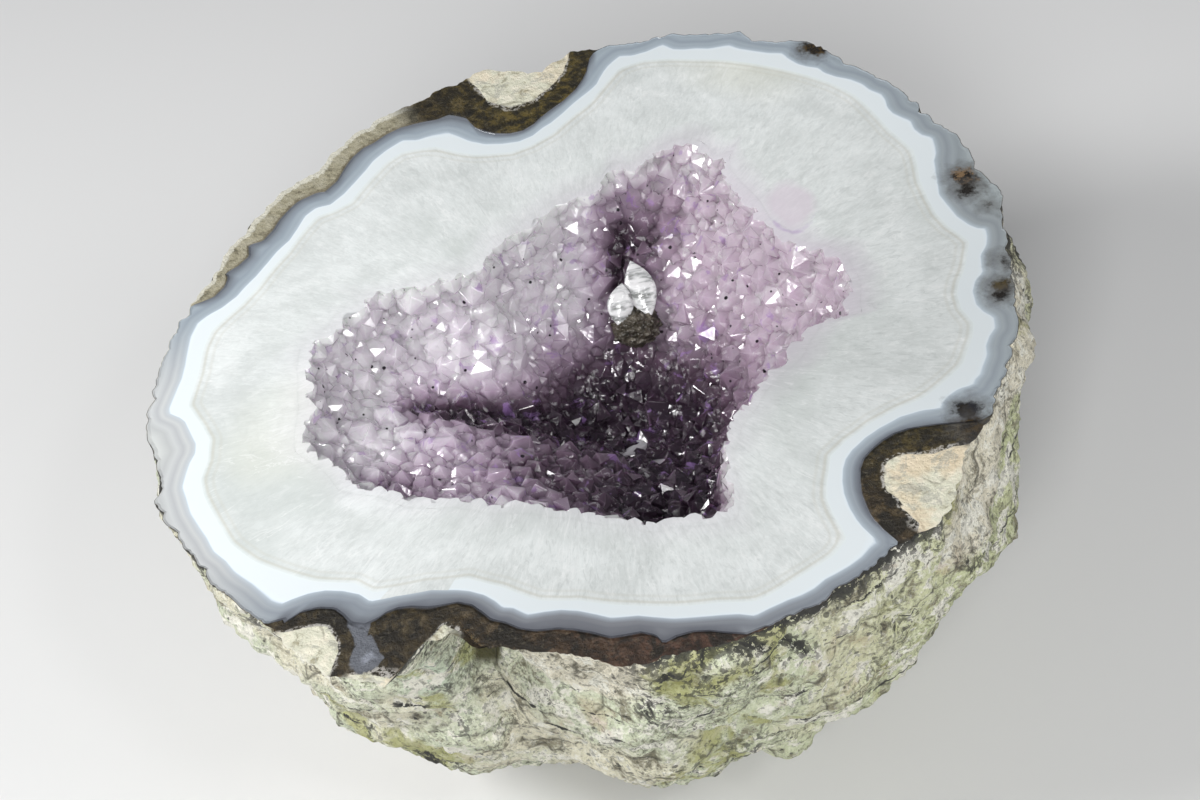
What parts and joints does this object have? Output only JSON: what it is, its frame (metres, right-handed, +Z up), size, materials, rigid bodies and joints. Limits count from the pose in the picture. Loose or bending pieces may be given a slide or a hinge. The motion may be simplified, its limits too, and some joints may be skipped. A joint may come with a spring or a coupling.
{
  "type": "geode half",
  "caption": "Half of a rough round stone sawn flat, with a banded rim, a wide quartz layer and a hollow lined with pale purple crystals.",
  "frame": {"origin": "centre of the stone's plan, on the surface that it rests on", "axes": "+Z up, out of the sawn face; +X to the right and +Y away, as the picture shows the face"},
  "size_m": [0.1599, 0.1574, 0.082],
  "materials": {
    "banded_stone": "rough cream rind outside, polished banded agate and milky quartz on the sawn face",
    "amethyst": "glassy pale purple crystal, darker in the depths",
    "calcite": "pale striated crystal on a brown granular foot"
  },
  "bodies": {
    "root": {"stone": "banded_stone", "crystal_crust": "amethyst", "pale_crystals": "calcite"}
  },
  "joints": []
}
